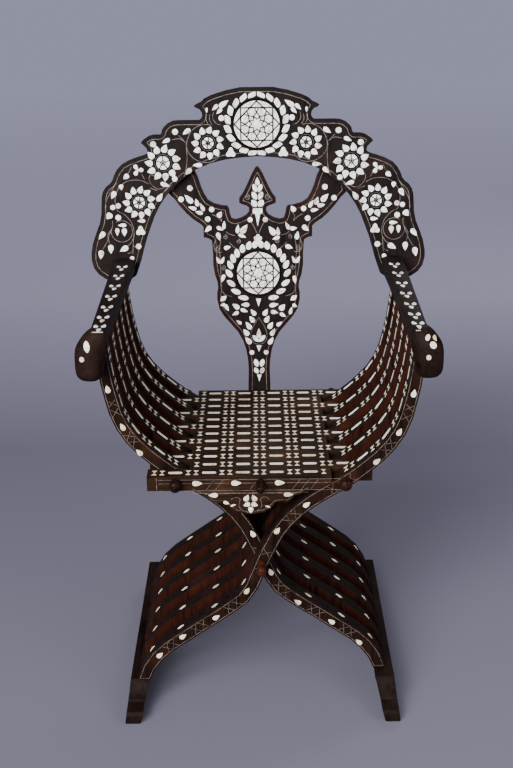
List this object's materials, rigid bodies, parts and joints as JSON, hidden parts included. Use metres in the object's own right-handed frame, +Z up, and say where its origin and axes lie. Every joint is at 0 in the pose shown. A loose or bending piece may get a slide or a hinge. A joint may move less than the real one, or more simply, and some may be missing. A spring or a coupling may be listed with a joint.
{
  "type": "folding armchair",
  "caption": "Folding X-frame armchair of curved wooden staves with a slatted seat, two arms, floor runners and a cusped crest rail on a pierced, leaning splat.",
  "frame": {"origin": "on the floor below the middle of the whole chair's bounding box", "axes": "+X to the sitter's left, which is the viewer's right from the front; +Y to the back; +Z up"},
  "size_m": [0.66, 0.539, 1.0777],
  "materials": {
    "stave_wood": "waxed walnut, worn satin",
    "slat_wood": "waxed dark walnut, satin",
    "board_wood": "carved and waxed dark walnut, satin",
    "turned_wood": "turned and polished reddish wood",
    "screw_steel": "worn steel"
  },
  "bodies": {
    "pivot": {"cross_pin": "turned_wood", "cross_nut": "turned_wood"},
    "side_a": {"stave_a1": "stave_wood", "stave_a2": "stave_wood", "stave_a3": "stave_wood", "stave_a4": "stave_wood", "stave_a5": "stave_wood", "stave_a6": "stave_wood", "arm_right": "board_wood", "runner_left": "board_wood", "right_pivot_pin": "turned_wood", "right_pivot_nut": "turned_wood"},
    "side_b": {"stave_b1": "stave_wood", "stave_b2": "stave_wood", "stave_b3": "stave_wood", "stave_b4": "stave_wood", "stave_b5": "stave_wood", "stave_b6": "stave_wood", "arm_left": "board_wood", "runner_right": "board_wood", "left_pivot_pin": "turned_wood", "left_pivot_nut": "turned_wood"},
    "seat_a": {"seat_slat_a1": "slat_wood", "seat_slat_a2": "slat_wood", "seat_slat_a3": "slat_wood", "seat_slat_a4": "slat_wood", "seat_slat_a5": "slat_wood", "seat_slat_a6": "slat_wood", "front_apron": "board_wood", "seat_knob": "turned_wood"},
    "seat_b": {"seat_slat_b1": "slat_wood", "seat_slat_b2": "slat_wood", "seat_slat_b3": "slat_wood", "seat_slat_b4": "slat_wood", "seat_slat_b5": "slat_wood", "seat_slat_b6": "slat_wood"},
    "middle": {"middle_pin": "turned_wood"},
    "back": {"crest_rail": "board_wood", "back_splat": "board_wood", "horn_screw_left": "screw_steel", "horn_screw_right": "screw_steel"}
  },
  "joints": [
    {"name": "fold", "type": "hinge", "parent": "pivot", "child": "side_a", "pos_m": [0, -0.0106, 0.302], "axis": [0, -1, 0], "range_deg": [0, 24]},
    {"name": "fold_b", "type": "hinge", "parent": "pivot", "child": "side_b", "pos_m": [0, -0.0106, 0.302], "axis": [0, 1, 0], "range_deg": [0, 24]},
    {"name": "seat_turn_a", "type": "hinge", "parent": "side_b", "child": "seat_a", "pos_m": [-0.148, -0.0106, 0.464], "axis": [0, -1, 0], "range_deg": [0, 84.1]},
    {"name": "seat_turn_b", "type": "hinge", "parent": "side_a", "child": "seat_b", "pos_m": [0.148, -0.0106, 0.464], "axis": [0, 1, 0], "range_deg": [0, 84.1]},
    {"name": "middle_pin_rise", "type": "slide", "parent": "pivot", "child": "middle", "axis": [0, 0, 1], "range_m": [0, 0.1768]},
    {"name": "back_lift", "type": "slide", "parent": "pivot", "child": "back", "axis": [0, 0.1219, 0.9925], "range_m": [0, 0.1]}
  ],
  "couplings": [
    {"joint": "fold_b", "follows": "fold", "ratio": 1},
    {"joint": "seat_turn_a", "follows": "fold", "ratio": 3.5},
    {"joint": "seat_turn_b", "follows": "fold", "ratio": 3.5},
    {"joint": "middle_pin_rise", "follows": "fold", "m_per_rad": 0.422}
  ]
}
